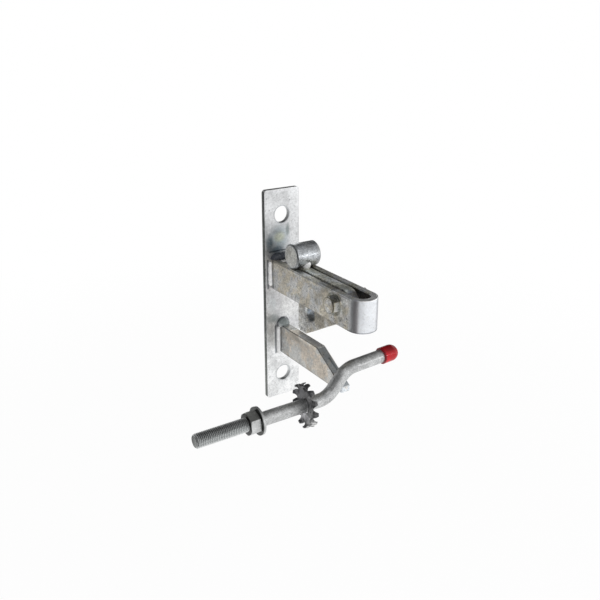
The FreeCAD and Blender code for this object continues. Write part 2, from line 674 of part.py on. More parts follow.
def draw_tooth(body, name, pointing, turn):
    """One tooth of the connector: a triangle of sheet standing on the disc's rim."""
    sketch = new_sketch(body, name, "YZ_Plane")
    stand = "(sizes.connector_size / 2 - sizes.connector_sheet)"
    sketch.AttachmentOffset = FreeCAD.Placement(FreeCAD.Vector(), FreeCAD.Rotation(FreeCAD.Vector(0, 1, 0), 1))
    sketch.setExpression("AttachmentOffset.Rotation.Angle", f"({turn}) * 1 deg")
    sketch.setExpression("AttachmentOffset.Base.x", f"{stand} * sin(({turn}) * 1 deg) * 1 mm")
    sketch.setExpression("AttachmentOffset.Base.z", f"{stand} * cos(({turn}) * 1 deg) * 1 mm")
    half = "sizes.tooth_wide / 2"
    points = [
        (f"0 - {half}", "0"),
        (half, "0"),
        ("0", f"{pointing}1 * sizes.connector_deep / 2"),
    ]
    draw_outline(sketch, points if pointing == "+" else points[::-1])
    return pad(body, sketch, "sizes.connector_sheet", name=name + "_pad")


def make_toothed_connector():
    """Round plate with teeth bent to both sides, which bite into the gate's timber."""
    body = new_body("toothed_connector")
    disc = new_sketch(body, "disc_outline", "XY_Plane")
    draw_circle(disc, "0", "0", "sizes.connector_size - 2 * sizes.connector_sheet * (1 - cos(20 deg))", "rim")
    pad(body, disc, "sizes.connector_sheet", symmetric=True, name="disc")
    teeth = [draw_tooth(body, "tooth_out", "+", "0"),
             draw_tooth(body, "tooth_back", "-", "180 / sizes.connector_teeth")]
    ring = body.newObject("PartDesign::PolarPattern", "ring_of_teeth")
    ring.Originals = teeth
    ring.Axis = ([part for part in body.Origin.OriginFeatures if part.Role == "Z_Axis"][0], [""])
    ring.Angle = 360
    bind(ring, Occurrences="sizes.connector_teeth")
    body.Tip = ring
    bore = new_sketch(body, "bore_outline", "XY_Plane")
    draw_circle(bore, "0", "0", "sizes.bar_size + 2 * sizes.connector_play", "bore")
    drill(body, bore)
    lean = FreeCAD.Rotation(FreeCAD.Vector(0, 0, 1), -number("sizes.connector_lean"))
    place(body, x=f"{KNEE_X} - sizes.connector_back", y=BAR_Y, z=BAR_Z, rotation=lean * ALONG_X)
    return body


nodes = [make_back_plate(), make_strap_loop(), make_ramp_plate()]
nodes += make_fillet_welds()
nodes += [make_ramp_dollop(), make_pivot_bolt(), make_pivot_nut()]
nodes += make_spacers()
nodes += [make_catch_plate(), make_thumb_bar()]
nodes += make_thumb_welds()
nodes += [make_striker_bar(), make_end_cap(), make_striker_nut(), make_striker_washer()]
nodes += [make_toothed_connector()]
doc.recompute()

for thing in doc.Objects:
    if "Invalid" in thing.State or "Error" in thing.State:
        raise RuntimeError(f"{thing.Label} did not rebuild: {thing.State}")
for node in nodes:
    if node.Shape.isNull() or not node.Shape.isValid() or len(node.Shape.Solids) != 1:
        raise RuntimeError(f"{node.Label} is not one valid solid")

os.makedirs("parts", exist_ok=True)
for node in nodes:
    node.Shape.exportStep(os.path.join("parts", node.Label + ".step"))
    box_size = node.Shape.BoundBox
    print(f"{node.Label}: {node.Shape.Volume:.0f} mm3, {box_size.XLength:.1f} x "
          f"{box_size.YLength:.1f} x {box_size.ZLength:.1f} mm")
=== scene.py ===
"""Looks of a self locking gate latch: galvanised plates, welds, a threaded striker bar,
a toothed connector and a red end cap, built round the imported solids."""

import math

import bmesh
import bpy
from bpy.props import FloatProperty, FloatVectorProperty, IntProperty, PointerProperty
from mathutils import Matrix, Vector


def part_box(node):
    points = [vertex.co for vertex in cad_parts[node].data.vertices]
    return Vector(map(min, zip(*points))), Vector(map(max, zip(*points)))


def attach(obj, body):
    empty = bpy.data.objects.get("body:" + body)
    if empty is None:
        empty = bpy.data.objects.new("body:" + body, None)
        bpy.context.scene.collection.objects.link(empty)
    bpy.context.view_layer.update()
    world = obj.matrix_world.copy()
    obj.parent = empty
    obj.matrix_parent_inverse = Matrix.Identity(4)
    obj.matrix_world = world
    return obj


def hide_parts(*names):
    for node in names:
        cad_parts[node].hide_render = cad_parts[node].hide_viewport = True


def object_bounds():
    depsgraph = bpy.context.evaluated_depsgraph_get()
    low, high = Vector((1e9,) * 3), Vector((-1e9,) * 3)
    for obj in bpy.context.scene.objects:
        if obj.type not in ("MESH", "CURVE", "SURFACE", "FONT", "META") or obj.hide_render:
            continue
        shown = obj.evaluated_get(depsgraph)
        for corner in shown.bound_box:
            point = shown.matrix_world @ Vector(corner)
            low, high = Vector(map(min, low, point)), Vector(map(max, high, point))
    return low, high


bl_info = {
    "name": "Self locking gate latch",
    "version": (1, 0, 0),
    "blender": (4, 5, 0),
    "location": "View3D > Sidebar > Gate latch",
    "description": "Finishes, welds, thread, toothed connector and stage of a gate latch",
    "category": "Object",
}

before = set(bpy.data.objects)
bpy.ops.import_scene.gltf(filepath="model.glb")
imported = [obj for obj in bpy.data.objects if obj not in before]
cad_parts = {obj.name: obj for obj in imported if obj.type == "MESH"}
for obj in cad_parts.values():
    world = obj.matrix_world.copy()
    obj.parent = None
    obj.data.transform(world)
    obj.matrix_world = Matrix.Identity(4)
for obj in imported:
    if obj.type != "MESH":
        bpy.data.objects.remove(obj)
CAD_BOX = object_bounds()
MM = 0.001


def middle(node):
    """Middle of a CAD node's box."""
    low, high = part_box(node)
    return (low + high) / 2


def metres(place):
    """A place or size in millimetres as a vector in metres."""
    return Vector(place) * MM


def put(name, data):
    """Set an object with the given data in the scene."""
    made = bpy.data.objects.new(name, data)
    bpy.context.scene.collection.objects.link(made)
    return made


# Node graphs


class Graph:
    """Short calls for building a shader or geometry node tree."""

    def __init__(self, tree):
        self.tree = tree
        self.surface = None

    def node(self, kind, **settings):
        made = self.tree.nodes.new(kind)
        for name, value in settings.items():
            setattr(made, name, value)
        return made

    def feed(self, socket, value):
        """Link a socket to another, or set its value."""
        if isinstance(value, bpy.types.NodeSocket):
            self.tree.links.new(value, socket)
        else:
            socket.default_value = value

    def make(self, kind, values=None, output=0, **settings):
        """Add a node, feed its inputs by name or number and return one of its outputs."""
        made = self.node(kind, **settings)
        for key, value in (values or {}).items():
            if value is not None:
                self.feed(made.inputs[key], value)
        return made.outputs[output]

    def math(self, operation, a, b=None, c=None, clamp=False):
        return self.make("ShaderNodeMath", {0: a, 1: b, 2: c}, operation=operation, use_clamp=clamp)

    def add(self, a, b):
        return self.math("ADD", a, b)

    def minus(self, a, b):
        return self.math("SUBTRACT", a, b)

    def times(self, a, b):
        return self.math("MULTIPLY", a, b)

    def over(self, a, b):
        return self.math("DIVIDE", a, b)

    def vector(self, operation, a, b=None, scale=None):
        output = "Value" if operation in ("DOT_PRODUCT", "LENGTH") else "Vector"
        return self.make("ShaderNodeVectorMath", {0: a, 1: b, "Scale": scale}, output, operation=operation)

    def split(self, vector):
        """The X, Y and Z of a vector."""
        made = self.node("ShaderNodeSeparateXYZ")
        self.feed(made.inputs[0], vector)
        return made.outputs

    def combine(self, x, y, z):
        return self.make("ShaderNodeCombineXYZ", {0: x, 1: y, 2: z})

    def spread(self, value, low, high, to_low=0.0, to_high=1.0, kind="SMOOTHSTEP"):
        """Map a value from one range to another, held at the ends."""
        numbers = dict(enumerate((value, low, high, to_low, to_high)))
        return self.make("ShaderNodeMapRange", numbers, interpolation_type=kind)

    def linear(self, value, low, high, to_low, to_high):
        return self.spread(value, low, high, to_low, to_high, "LINEAR")

    def wander(self, pattern, low, high):
        """Map the range that a noise mostly fills to another."""
        return self.linear(pattern, 0.3, 0.7, low, high)

    def fade(self, value, solid, gone):
        """1 while a value is below solid, 0 once it is above gone."""
        return self.spread(value, gone, solid)

    def mix(self, share, a, b, blend="MIX"):
        """Mix two colours."""
        return self.make("ShaderNodeMix", {0: share, 6: a, 7: b}, 2, data_type="RGBA", blend_type=blend)

    def grey(self, value):
        """A grey colour from a value."""
        return self.make("ShaderNodeCombineColor", {0: value, 1: value, 2: value})

    def noise(self, place, scale, detail=3.0, roughness=0.55, distortion=0.0):
        return self.make("ShaderNodeTexNoise", {
            "Vector": place, "Scale": scale, "Detail": detail, "Roughness": roughness,
            "Distortion": distortion,
        })

    def cells(self, place, scale):
        """A random value for each cell of a cell pattern."""
        colour = self.make("ShaderNodeTexVoronoi", {"Vector": place, "Scale": scale}, "Color", feature="F1")
        return self.make("ShaderNodeSeparateColor", {0: colour})

    def position(self):
        return self.make("GeometryNodeInputPosition")


def new_material(name, kind="ShaderNodeBsdfPrincipled"):
    """An empty material with its graph, its shader and the object's own coordinates."""
    material = bpy.data.materials.new(name)
    material.use_nodes = True
    material.node_tree.nodes.clear()
    graph = Graph(material.node_tree)
    graph.surface = graph.node("ShaderNodeOutputMaterial").inputs["Surface"]
    shader = graph.node(kind)
    graph.feed(graph.surface, shader.outputs[0])
    place = graph.make("ShaderNodeTexCoord", output="Object")
    return material, graph, shader, place


def opaque(colour):
    return (*colour, 1.0)


def tinted(colour, factor):
    return tuple(channel * factor for channel in colour)


def add_bump(graph, shader, height, depth, strength):
    normal = graph.make("ShaderNodeBump", {"Strength": strength, "Distance": depth, "Height": height})
    graph.feed(shader.inputs["Normal"], normal)


# Marks on a finish, some of them painted light and shade: each gives a function that returns its
# mask and its colour, by which the finish is multiplied. Places are in millimetres in the latch's own
# frame.


def blot(centre, radii, colour, solid=0.25):
    """Mark that fills an ellipsoid."""
    def mark(g, place):
        away = g.vector("SUBTRACT", place, metres(centre))
        scaled = g.vector("DIVIDE", away, metres(radii))
        return g.fade(g.vector("LENGTH", scaled), solid, 1.0), colour
    return mark


def streak(start, end, radius, colour, solid=0.3):
    """Mark along a straight line."""
    def mark(g, place):
        run = metres(end) - metres(start)
        away = g.vector("SUBTRACT", place, metres(start))
        share = g.math("DIVIDE", g.vector("DOT_PRODUCT", away, run), run.length_squared, clamp=True)
        off = g.vector("LENGTH", g.vector("SUBTRACT", away, g.vector("SCALE", run, scale=share)))
        return g.fade(off, radius * MM * solid, radius * MM), colour
    return mark


def upright(x, y, low, high, radius, colour):
    """Streak straight up."""
    return streak((x, y, low), (x, y, high), radius, colour)


def outward(x, z, start, end, radius, colour, solid=0.3):
    """Level streak in the direction in which the loop reaches out."""
    return streak((x, start, z), (x, end, z), radius, colour, solid)


def slab(low, high, colour, edge=0.4):
    """Mark that fills a box."""
    def mark(g, place):
        mask = None
        for value, least, most in zip(g.split(place), low, high):
            off = g.math("ABSOLUTE", g.add(value, -(least + most) / 2 * MM))
            half = (most - least) / 2
            side = g.fade(off, (half - edge) * MM, half * MM)
            mask = side if mask is None else g.times(mask, side)
        return mask, colour
    return mark


def around(centre, low, high, colour, edge=0.4):
    """Slab with its corners given from a centre."""
    return slab(centre + Vector(low), centre + Vector(high), colour, edge)


def on_bar(near, far, colour, edge=0.4, low=-30):
    """Slab round the striker bar from one place along it to another, all of it or its upper part."""
    axis = middle("striker_nut") / MM
    return around(axis, (near - axis.x, -30, low), (far - axis.x, 30, 30), colour, edge)


def ring(centre, axis, radius, width, colour, deep=4.0):
    """Mark round an axis: 0 is X, 1 is Y."""
    def mark(g, place):
        away = g.vector("SUBTRACT", place, metres(centre))
        flat = g.vector("MULTIPLY", away, [float(i != axis) for i in range(3)])
        off = g.math("ABSOLUTE", g.add(g.vector("LENGTH", flat), -radius * MM))
        near = g.fade(g.math("ABSOLUTE", g.split(away)[axis]), deep * 0.9 * MM, deep * MM)
        return g.times(g.fade(off, width * 0.4 * MM, width * MM), near), colour
    return mark


def rooted(name, colour):
    """Mark that follows an attribute of the mesh."""
    def mark(g, place):
        return g.make("ShaderNodeAttribute", output="Fac", attribute_name=name), colour
    return mark


def add_marks(g, place, tone, marks, share=1.0):
    for mark in marks:
        mask, stain = mark(g, place)
        tone = g.mix(g.times(mask, share), tone, g.mix(1.0, tone, opaque(stain), "MULTIPLY"))
    return tone


CLEAN_LEFT = 0.25  # share of the pattern that is left where a finish is clean


def zinc(name, colour, worn, marks, *, contrast, pits_at=0.66, worn_at=0.5, rough=0.36, metal=0.92,
         bump=0.3, least=0.45, clean=None):
    """Hot dip galvanised steel: cloudy patches, faint crystals, worn tint, dark pits and marks.

    Inside the mark called clean there is no worn tint and little pattern. Marks are ragged: where
    they are thinnest, the share called least of them is left."""
    material, g, shader, place = new_material(name)
    clouds = g.noise(place, 34.0, 3.0, 0.6)
    patches = g.noise(place, 120.0, 5.0, 0.65, 0.6)
    speckle = g.noise(place, 420.0, 3.0, 0.6)
    grain = g.noise(place, 1100.0, 2.0, 0.6)
    pits = g.fade(g.noise(place, 560.0, 2.0, 0.5, 0.4), pits_at + 0.04, pits_at)
    bare = g.spread(g.add(g.times(patches, 0.35), g.times(clouds, 0.65)), worn_at - 0.05, worn_at + 0.05)
    used = g.minus(1.0, clean(g, place)[0]) if clean else 1.0
    calm = g.linear(used, 0.0, 1.0, CLEAN_LEFT, 1.0)
    bare, pits = g.times(bare, used), g.times(pits, calm)

    tone = g.mix(bare, opaque(colour), opaque(worn))
    other = g.noise(g.vector("ADD", place, (0.5, 0.3, 0.7)), 46.0, 4.0, 0.6)
    level = g.linear(other, 0.35, 0.62, 1.0 - contrast * 0.6, 1.0 + contrast * 0.2)
    for pattern, share in ((patches, 0.4), (speckle, 0.5), (grain, 0.6)):
        part = contrast * share
        level = g.times(level, g.wander(pattern, 1.0 - part, 1.0 + part * 0.6))
    level = g.times(level, g.linear(g.cells(place, 260.0), 0.0, 1.0, 0.95, 1.04))
    level = g.math("MULTIPLY_ADD", g.add(level, -1.0), calm, 1.0)
    tone = g.mix(1.0, tone, g.grey(level), "MULTIPLY")
    tone = g.mix(g.times(pits, 0.8), tone, opaque(tinted(colour, 0.2)))
    tone = add_marks(g, place, tone, marks, g.spread(speckle, 0.25, 0.5, least, 1.0))
    g.feed(shader.inputs["Base Color"], g.vector("MINIMUM", tone, (1.0, 1.0, 1.0)))

    shader.inputs["Metallic"].default_value = metal
    roughness = g.wander(patches, rough - 0.08, rough + 0.08)
    g.feed(shader.inputs["Roughness"], g.add(roughness, g.times(pits, 0.2)))
    height = g.add(g.times(patches, 0.5), g.times(speckle, 0.25))
    add_bump(g, shader, g.minus(height, g.times(pits, 0.4)), 0.6 * MM, bump)
    return material


def moulded_plastic(name, colour, marks):
    """Glossy soft plastic with faint flow lines, fine scuffs and marks."""
    material, g, shader, place = new_material(name)
    flow = g.noise(place, 90.0, 2.0, 0.5)
    scuffs = g.noise(place, 1400.0, 3.0, 0.6)
    tone = g.mix(g.spread(flow, 0.35, 0.65), opaque(tinted(colour, 0.82)), opaque(tinted(colour, 1.12)))
    g.feed(shader.inputs["Base Color"], add_marks(g, place, tone, marks))
    g.feed(shader.inputs["Roughness"], g.spread(scuffs, 0.3, 0.7, 0.07, 0.14))
    shader.inputs["IOR"].default_value = 1.5
    shader.inputs["Specular IOR Level"].default_value = 0.36
    add_bump(g, shader, g.add(flow, g.times(scuffs, 0.03)), 0.4 * MM, 0.1)
    return material


# Geometry nodes


def new_tree(name, sizes):
    """A geometry node tree with one mesh input and named size inputs."""
    tree = bpy.data.node_groups.new(name, "GeometryNodeTree")
    tree.interface.new_socket("Geometry", in_out="INPUT", socket_type="NodeSocketGeometry")
    for label, value in sizes.items():
        kind = {int: "NodeSocketInt", float: "NodeSocketFloat"}.get(type(value), "NodeSocketVector")
        socket = tree.interface.new_socket(label, in_out="INPUT", socket_type=kind)
        socket.default_value = value
    tree.interface.new_socket("Geometry", in_out="OUTPUT", socket_type="NodeSocketGeometry")
    graph = Graph(tree)
    return graph, graph.node("NodeGroupInput").outputs


def close_tree(graph, geometry, material, smooth=math.radians(35)):
    """End a tree: real geometry, shading by angle and the material."""
    real = graph.make("GeometryNodeRealizeInstances", {0: geometry})
    keep = graph.math("LESS_THAN", graph.make("GeometryNodeInputMeshEdgeAngle"), smooth)
    smooth_shade = "GeometryNodeSetShadeSmooth"
    edges = graph.make(smooth_shade, {"Geometry": real, "Shade Smooth": keep}, domain="EDGE")
    faces = graph.make(smooth_shade, {"Geometry": edges}, domain="FACE")
    painted = graph.make("GeometryNodeSetMaterial", {"Geometry": faces, "Material": material})
    graph.feed(graph.node("NodeGroupOutput").inputs[0], painted)


def grow(name, graph, values, points=(), edges=(), widths=()):
    """Run a tree on a small mesh and keep the result as a plain mesh object."""
    seed_mesh = bpy.data.meshes.new(name + "_seed")
    seed_mesh.from_pydata([tuple(p) for p in points], list(edges), [])
    if widths:
        seed_mesh.attributes.new("half_width", "FLOAT", "POINT").data.foreach_set("value", widths)
    seed = put(name + "_seed", seed_mesh)
    modifier = seed.modifiers.new("Grow", "NODES")
    modifier.node_group = graph.tree
    for item in graph.tree.interface.items_tree:
        if item.in_out == "INPUT" and item.name in values:
            modifier[item.identifier] = values[item.name]
    view = bpy.context.evaluated_depsgraph_get()
    mesh = bpy.data.meshes.new_from_object(seed.evaluated_get(view))
    mesh.name = name
    seed.modifiers.clear()
    bpy.data.objects.remove(seed)
    if not mesh.polygons:
        raise RuntimeError(name + " came out empty")
    return put(name, mesh)


def circle_profile(graph, radius, count):
    values = {"Resolution": count, "Radius": radius}
    return graph.make("GeometryNodeCurvePrimitiveCircle", values, mode="RADIUS")


def sweep(graph, path, profile, scale=None):
    """Closed skin along a path."""
    return graph.make("GeometryNodeCurveToMesh", {
        "Curve": path, "Profile Curve": profile, "Fill Caps": True, "Scale": scale,
    })


def trim(graph, path, start, end):
    """The part of a path between two lengths along it."""
    return graph.make("GeometryNodeTrimCurve", {"Curve": path, 4: start, 5: end}, mode="LENGTH")


def step_along(graph, path, step):
    return graph.make("GeometryNodeResampleCurve", {"Curve": path, "Length": step}, mode="LENGTH")


def join(graph, *parts):
    made = graph.node("GeometryNodeJoinGeometry")
    for part in reversed(parts):
        graph.feed(made.inputs[0], part)
    return made.outputs[0]


BAR_SIDES, BEAD_SIDES, DISC_SIDES = 48, 20, 64
BEND_STEPS = 14
PAST_END = 10.0  # a length that is past any path's end
SEAM = 0.02 * MM


def striker_tree(material):
    """Round bar along a path with its first length threaded."""
    graph, size = new_tree("striker_bar", {
        "Radius": 8 * MM, "Bend": 26 * MM, "Thread length": 76 * MM, "Pitch": 2.0 * MM,
        "Depth": 1.1 * MM, "Bevel": 1.6 * MM, "Start": (0.0, 0.0, 0.0),
    })
    thread_end = size["Thread length"]
    path = graph.make("GeometryNodeMeshToCurve", {0: size["Geometry"]})
    path = graph.make("GeometryNodeFilletCurve", {
        "Curve": path, "Count": BEND_STEPS, "Radius": size["Bend"],
    }, mode="POLY")
    plain = trim(graph, path, thread_end, PAST_END)
    body = sweep(graph, plain, circle_profile(graph, size["Radius"], BAR_SIDES))
    steps = step_along(graph, trim(graph, path, 0.0, thread_end), graph.times(size["Pitch"], 0.1))
    rod = sweep(graph, steps, circle_profile(graph, size["Radius"], BAR_SIDES))

    along, side, up = graph.split(graph.vector("SUBTRACT", graph.position(), size["Start"]))
    turn = graph.over(graph.math("ARCTAN2", up, side), 2 * math.pi)
    phase = graph.math("FRACT", graph.add(graph.over(along, size["Pitch"]), turn))
    groove = graph.math("ABSOLUTE", graph.minus(graph.times(phase, 2.0), 1.0))
    run_out = graph.minus(thread_end, graph.times(size["Pitch"], 1.5))
    deep = graph.times(size["Depth"], graph.spread(groove, 0.1, 0.9))
    deep = graph.times(deep, graph.spread(along, run_out, thread_end, 1.0, 0.0))
    bevel = graph.math("MAXIMUM", graph.minus(size["Bevel"], along), 0.0)
    shrink = graph.math("MAXIMUM", deep, bevel)
    ratio = graph.minus(1.0, graph.over(shrink, size["Radius"]))
    cut = graph.combine(along, graph.times(side, ratio), graph.times(up, ratio))
    cut = graph.make("GeometryNodeSetPosition", {
        "Geometry": rod, "Position": graph.vector("ADD", cut, size["Start"]),
    })

    # The two halves' caps where they meet are taken out, and their rims joined.
    off = graph.math("ABSOLUTE", graph.minus(along, thread_end))
    both = graph.make("GeometryNodeDeleteGeometry", {
        "Geometry": join(graph, cut, body), "Selection": graph.math("LESS_THAN", off, SEAM),
    }, domain="FACE")
    skin = graph.make("GeometryNodeMergeByDistance", {"Geometry": both, "Distance": SEAM / 2})
    # Where the thread's grooves are, for the finish's painted shade in them.
    threaded = graph.math("LESS_THAN", along, graph.minus(thread_end, 0.5 * MM))
    noted = graph.make("GeometryNodeStoreNamedAttribute", {
        "Geometry": skin, "Name": "root", "Value": graph.times(threaded, graph.spread(groove, 0.3, 0.9)),
    }, data_type="FLOAT", domain="POINT")
    close_tree(graph, noted, material)
    return graph


def weld_tree(material):
    """Weld beads along the edges of the seed mesh: rounded ends, uneven width and ripples."""
    graph, size = new_tree("weld_beads", {
        "Ripple": 1.9 * MM, "Ripple height": 0.1 * MM, "Lumps": 0.16 * MM,
    })
    width = graph.make("GeometryNodeInputNamedAttribute", {"Name": "half_width"}, "Attribute",
                       data_type="FLOAT")
    path = graph.make("GeometryNodeMeshToCurve", {0: size["Geometry"]})
    steps = step_along(graph, path, graph.times(size["Ripple"], 0.12))
    behind = graph.make("GeometryNodeSplineParameter", output="Length")
    ahead = graph.minus(graph.make("GeometryNodeSplineLength", output="Length"), behind)
    rise = graph.math("DIVIDE", graph.math("MINIMUM", behind, ahead), width, clamp=True)
    short = graph.minus(1.0, rise)
    rounded = graph.math("SQRT", graph.minus(1.0, graph.times(short, short)))
    spot = graph.position()
    uneven = graph.wander(graph.noise(spot, 160.0, 2.0), 0.88, 1.08)
    thick = graph.times(width, graph.times(graph.math("MAXIMUM", rounded, 0.05), uneven))
    tube = sweep(graph, steps, circle_profile(graph, 1.0, BEAD_SIDES), thick)

    along = graph.times(graph.vector("DOT_PRODUCT", spot, (1.0, 1.0, 1.0)), 2 * math.pi)
    wave = graph.math("SINE", graph.over(along, size["Ripple"]))
    lumps = graph.wander(graph.noise(spot, 260.0, 2.0), -1.0, 1.0)
    lift = graph.add(graph.times(wave, size["Ripple height"]), graph.times(lumps, size["Lumps"]))
    push = graph.vector("SCALE", graph.make("GeometryNodeInputNormal"), scale=lift)
    moved = graph.make("GeometryNodeSetPosition", {"Geometry": tube, "Offset": push})
    close_tree(graph, moved, material, math.radians(80))
    return graph


def connector_tree(material):
    """Round plate with a ring of teeth bent to both sides in turn."""
    graph, size = new_tree("toothed_connector", {
        "Bore": 8.8 * MM, "Rim": 20.5 * MM, "Sheet": 1.4 * MM, "Tooth width": 10.4 * MM,
        "Tooth reach": 5.2 * MM, "Bend": 4.0 * MM, "Teeth": 24, "Outer": 24.5 * MM, "Overlap": 2.0 * MM,
    })
    section = graph.make("GeometryNodeCurvePrimitiveQuadrilateral", {
        0: graph.minus(size["Rim"], size["Bore"]), 1: graph.times(size["Sheet"], 1.07),
    })
    ring_middle = graph.times(graph.add(size["Bore"], size["Rim"]), 0.5)
    disc = sweep(graph, circle_profile(graph, ring_middle, DISC_SIDES), section)

    # One tooth: a block of sheet, drawn flat along X and then bent up along Z.
    start = graph.minus(size["Rim"], size["Overlap"])
    flat_run = graph.minus(graph.minus(size["Outer"], size["Bend"]), start)
    arc_run = graph.times(size["Bend"], math.pi / 2)
    stand = graph.minus(size["Tooth reach"], size["Bend"])
    whole = graph.add(graph.add(flat_run, arc_run), stand)
    block = graph.make("GeometryNodeMeshCube", {
        "Size": graph.combine(whole, 1.0, size["Sheet"]), "Vertices X": 15, "Vertices Y": 5,
    })
    drawn, across, sheet_side = graph.split(graph.position())
    run = graph.add(drawn, graph.times(whole, 0.5))
    taper = graph.linear(graph.over(run, whole), 0.25, 1.0, 1.0, 0.38)
    past_flat = graph.math("MAXIMUM", graph.minus(run, flat_run), 0.0)
    on_arc = graph.math("MINIMUM", past_flat, arc_run)
    angle = graph.over(on_arc, size["Bend"])
    inner = graph.minus(size["Bend"], sheet_side)
    radial = graph.add(graph.math("MINIMUM", run, flat_run), graph.times(graph.math("SINE", angle), inner))
    axial = graph.minus(size["Bend"], graph.times(graph.math("COSINE", angle), inner))
    bent = graph.combine(
        graph.add(radial, start),
        graph.times(across, graph.times(size["Tooth width"], taper)),
        graph.add(axial, graph.minus(past_flat, on_arc)),
    )
    tooth = graph.make("GeometryNodeSetPosition", {"Geometry": block, "Position": bent})

    spots = graph.make("GeometryNodeMeshLine", {"Count": size["Teeth"], "Offset": (0, 0, 0)}, mode="OFFSET")
    index = graph.make("GeometryNodeInputIndex")
    flip = graph.times(graph.math("MODULO", index, 2.0), math.pi)
    spin = graph.over(graph.times(index, 2 * math.pi), size["Teeth"])
    teeth = graph.make("GeometryNodeInstanceOnPoints", {
        "Points": spots, "Instance": tooth, "Rotation": graph.combine(flip, 0.0, spin),
    })
    close_tree(graph, join(graph, disc, teeth), material)
    return graph


# Properties


def length(name, description, default):
    return FloatProperty(name=name, description=description, default=default, min=0.0, unit="LENGTH")


def angle(name, description, degrees):
    return FloatProperty(name=name, description=description, default=math.radians(degrees),
                         subtype="ANGLE")


def tint(name, description, default):
    return FloatVectorProperty(name=name, description=description, default=default, size=3,
                               subtype="COLOR", min=0.0, max=1.0)


class LatchSizes(bpy.types.PropertyGroup):
    """Sizes of the pieces that the looks add."""

    bar_radius: length("Bar radius", "Radius of the striker bar", 8 * MM)
    crank_foot: FloatProperty(name="Crank foot", description="Lower corner of the crank, along X",
                              default=-25.4 * MM, unit="LENGTH")
    crank_rise: length("Crank rise", "Height from the crank's lower to its upper corner", 30 * MM)
    crank_angle: angle("Crank angle", "Slope of the crank", 49)
    end_lift: angle("End lift", "Slope of the run beyond the crank", 3)
    end_run: length("End run", "Crank's upper corner to the bar's end", 65.9 * MM)
    crank_bend: length("Crank bend", "Bend radius on the bar's axis", 26 * MM)
    thread_length: length("Thread length", "Threaded length of the bar", 76 * MM)
    thread_pitch: length("Thread pitch", "Distance between thread crests", 2.0 * MM)
    thread_depth: length("Thread depth", "Crest to root of the thread", 1.1 * MM)
    weld_width: length("Weld width", "Half width of a weld bead", 3.2 * MM)
    weld_top_width: length("Top weld", "Half width of the bead across the loop's arms", 6.8 * MM)
    thumb_weld_width: length("Lifting bar weld", "Half width of the beads under the lifting bar", 8 * MM)
    weld_ripple: length("Weld ripple", "Distance between the ripples of a bead", 1.9 * MM)
    connector_teeth: IntProperty(name="Teeth", description="Teeth round the connector", default=24, min=6)
    connector_lean: angle("Lean", "Lean of the loose connector on the bar", 10)


class LatchColours(bpy.types.PropertyGroup):
    """Colours of the finishes."""

    plate: tint("Post plate", "Zinc of the post plate", (0.84, 0.85, 0.86))
    strap: tint("Loop and catch", "Zinc of the strap loop and the catch", (0.84, 0.84, 0.82))
    worn: tint("Worn zinc", "Warm tint of the rubbed zinc", (0.72, 0.67, 0.56))
    ramp: tint("Ramp", "Zinc of the ramp", (0.68, 0.68, 0.66))
    worn_ramp: tint("Worn ramp", "Warm tint of the ramp's sides", (0.72, 0.65, 0.56))
    bar: tint("Round bars", "Zinc of the striker and lifting bar", (0.66, 0.67, 0.67))
    weld: tint("Welds", "Bright weld metal", (0.96, 0.96, 0.96))
    dark: tint("Dark zinc", "Dull zinc of the connector", (0.075, 0.075, 0.08))
    cap: tint("End cap", "Red plastic of the end cap", (0.58, 0.009, 0.018))
    floor: tint("Floor", "Floor and backdrop", (0.95, 0.95, 0.95))


def sizes():
    return bpy.context.scene.latch_sizes


def colours():
    return bpy.context.scene.latch_colours


# Pieces

DARK, DIM, SOFT = (0.3, 0.31, 0.33), (0.5, 0.51, 0.52), (0.72, 0.74, 0.75)
PLATE_FRONT = -6.0  # the post plate's front, along Y
ARM_SIDE = -17.1  # the near arm's outer side, along X
NEAR_SIDE = -6.0  # the near side of the ramp and of the catch, along X
BEAD_INSET = 0.4 * MM  # how far a bead's line is inside its solid's box
BEAD_SWELL = 1.15  # the most that a bead grows past its half width
THUMB_STAND, THUMB_RISE = 3 * MM, 0.75  # the lifting bar's beads: out past the solid, and up


def paint(node, material):
    """Give a CAD node a finish."""
    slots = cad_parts[node].data.materials
    slots.clear()
    slots.append(material)


def seat(piece, body, slot, *nodes):
    """Let a piece stand for its CAD nodes on their body."""
    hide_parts(*nodes)
    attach(piece, body)


def plate_blot(x, z, wide, high, colour, solid=0.25):
    """Blot on the post plate's front."""
    return blot((x, PLATE_FRONT, z), (wide, 9, high), colour, solid)


def arm_blot(y, z, wide, high, colour):
    """Blot on the near arm's outer side."""
    return blot((ARM_SIDE, y, z), (3, wide, high), colour)


